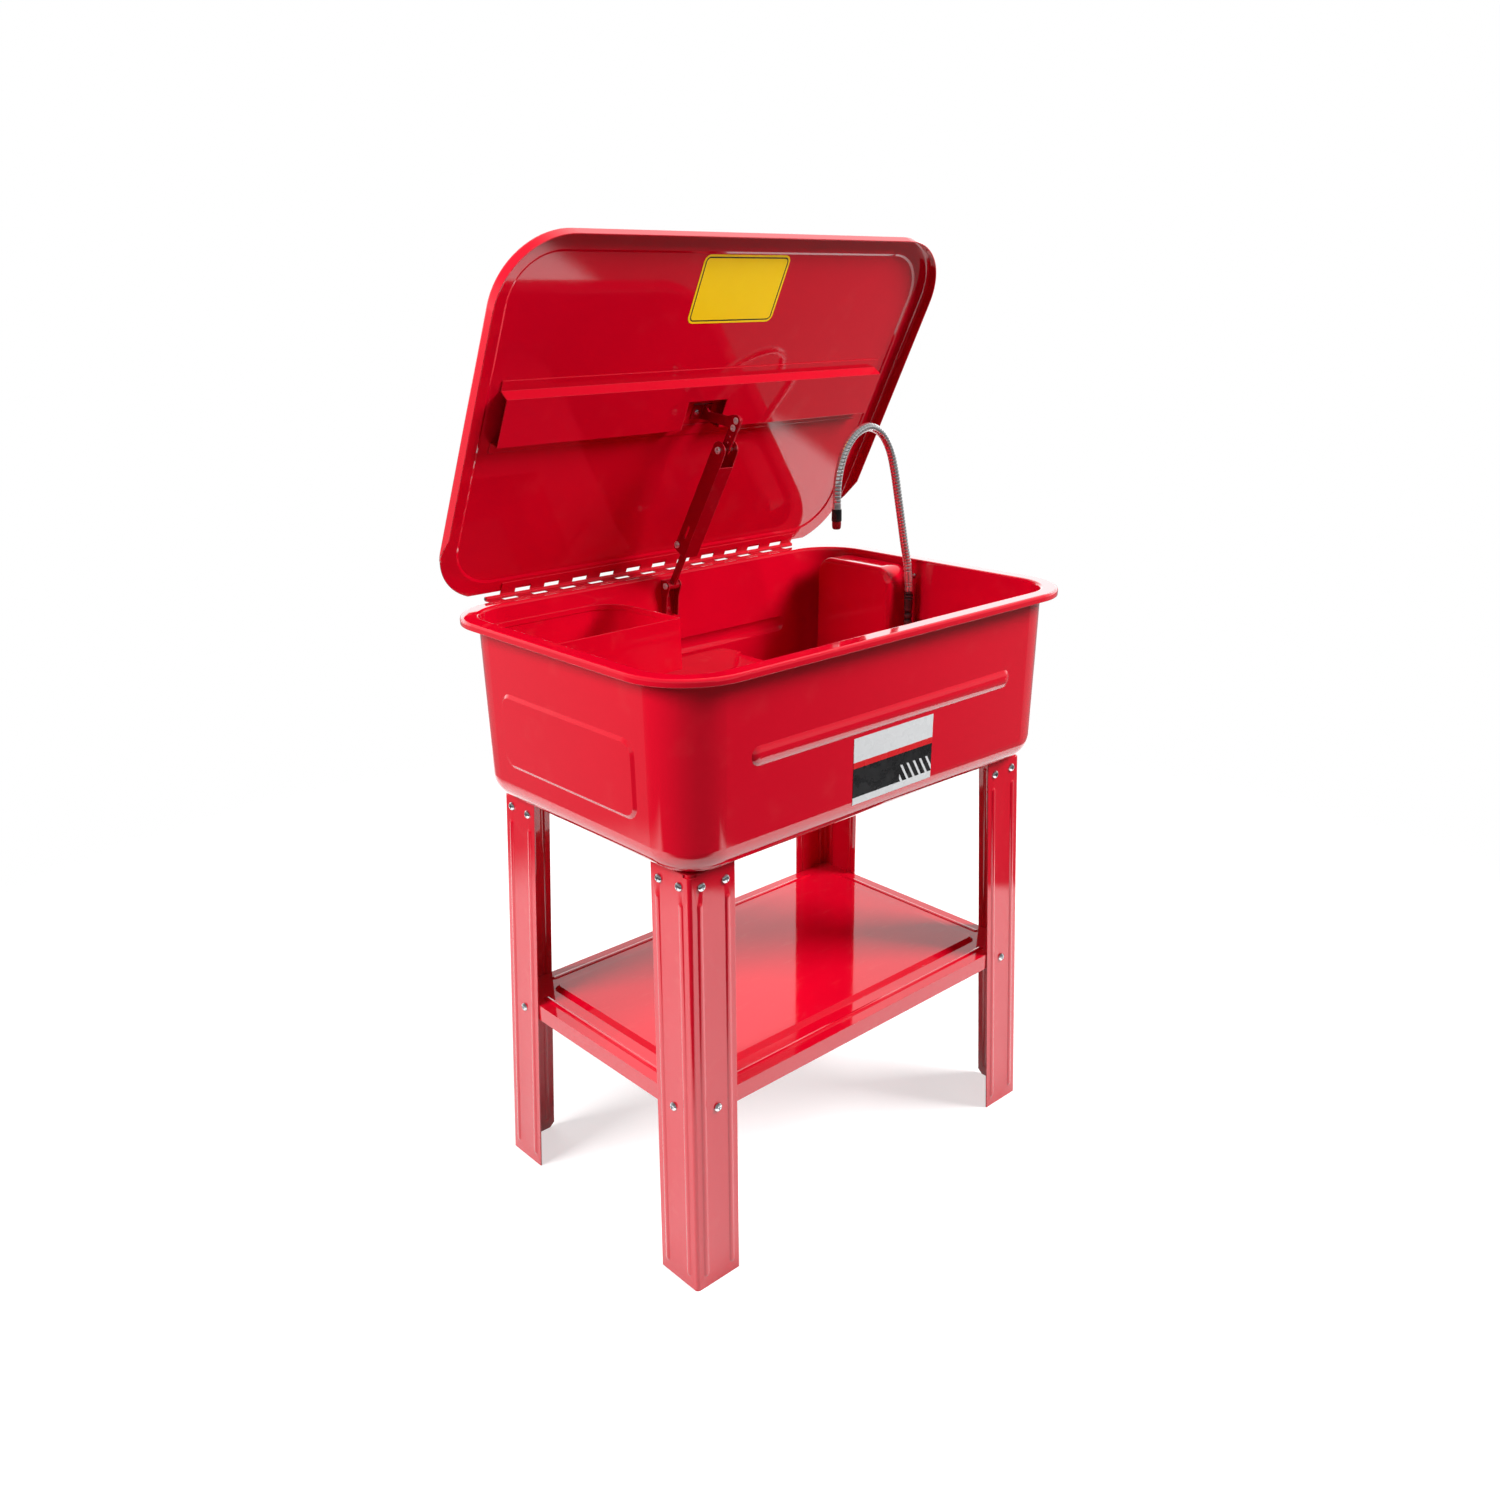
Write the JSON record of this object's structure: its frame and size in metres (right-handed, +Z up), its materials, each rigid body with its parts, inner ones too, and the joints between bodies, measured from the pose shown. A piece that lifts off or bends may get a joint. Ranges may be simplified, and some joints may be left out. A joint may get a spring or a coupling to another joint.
{
  "type": "parts washer tank",
  "caption": "Red sheet-steel parts washer: deep tub on splayed angle legs with a lower shelf, hinged lid on a fusible-link stay, parts tray, work shelf and flexible spout.",
  "frame": {"origin": "on the floor, centred between the four feet", "axes": "+X to the right seen from the front, +Y to the back where the lid hinges, +Z up"},
  "size_m": [0.7274, 0.4964, 1.2547],
  "materials": {
    "red_enamel": "glossy red powder enamel",
    "zinc_plate": "bright zinc",
    "bare_steel": "satin steel",
    "chrome_flex": "polished",
    "black_rubber": "matt",
    "black_plastic": "matt",
    "red_plastic": "satin"
  },
  "bodies": {
    "stand": {"tub": "red_enamel", "bracket_fl": "red_enamel", "bracket_fr": "red_enamel", "bracket_rl": "red_enamel", "bracket_rr": "red_enamel", "leg_fl": "red_enamel", "leg_fr": "red_enamel", "leg_rl": "red_enamel", "leg_rr": "red_enamel", "leg_bolts": "zinc_plate", "leg_nuts": "zinc_plate", "shelf": "red_enamel", "shelf_bolts": "zinc_plate", "shelf_nuts": "zinc_plate", "hinge_tank_leaf": "red_enamel", "hinge_pin": "bare_steel", "stay_foot_bracket": "red_enamel", "stay_foot_rivets": "zinc_plate", "stay_foot_pin": "zinc_plate", "parts_tray": "red_enamel", "work_shelf": "red_enamel", "pump_cover": "red_enamel", "cover_screws": "zinc_plate", "pump_body": "black_plastic", "pump_strainer": "black_plastic", "pump_strap": "zinc_plate", "strap_screws": "zinc_plate", "pump_elbow": "black_plastic", "hose": "black_rubber", "hose_clamp": "zinc_plate", "spout_socket": "chrome_flex", "drain_bung": "red_enamel", "drain_gasket": "black_rubber", "drain_plug": "zinc_plate", "cord_grommet": "black_rubber"},
    "lid": {"lid": "red_enamel", "lid_channel": "red_enamel", "hinge_lid_leaf": "red_enamel", "lid_bracket": "red_enamel", "lid_bracket_bolts": "zinc_plate", "fusible_link": "red_enamel", "link_rivets": "zinc_plate", "stay_top_pin": "zinc_plate"},
    "stay_arm": {"stay_channel": "red_enamel", "stay_guide_bolt": "zinc_plate"},
    "stay_bar": {"stay_bar": "red_enamel"},
    "spout": {"spout_ball": "chrome_flex", "spout_neck": "chrome_flex", "spout_collar": "black_rubber", "spout_tip": "red_plastic"}
  },
  "joints": [
    {"name": "lid_hinge", "type": "hinge", "parent": "stand", "child": "lid", "pos_m": [0, 0.24883, 0.8071], "axis": [1, 0, 0], "range_deg": [0, 63]},
    {"name": "stay_bar_pivot", "type": "hinge", "parent": "stand", "child": "stay_bar", "pos_m": [0.004, 0.20902, 0.78909], "axis": [1, 0, 0], "range_deg": [0, 71.6]},
    {"name": "stay_arm_pivot", "type": "hinge", "parent": "lid", "child": "stay_arm", "pos_m": [0.004, 0.08868, 0.98925], "axis": [1, 0, 0], "range_deg": [0, 8.6]},
    {"name": "spout_fold", "type": "hinge", "parent": "stand", "child": "spout", "pos_m": [0.31506, 0.03, 0.76529], "axis": [0.6428, -0.766, 0], "range_deg": [0, 78.5]}
  ],
  "couplings": [
    {"joint": "stay_bar_pivot", "follows": "lid_hinge", "ratio": 1.129},
    {"joint": "stay_arm_pivot", "follows": "lid_hinge", "ratio": 0.12897},
    {"joint": "spout_fold", "follows": "lid_hinge", "ratio": 1.2381}
  ]
}
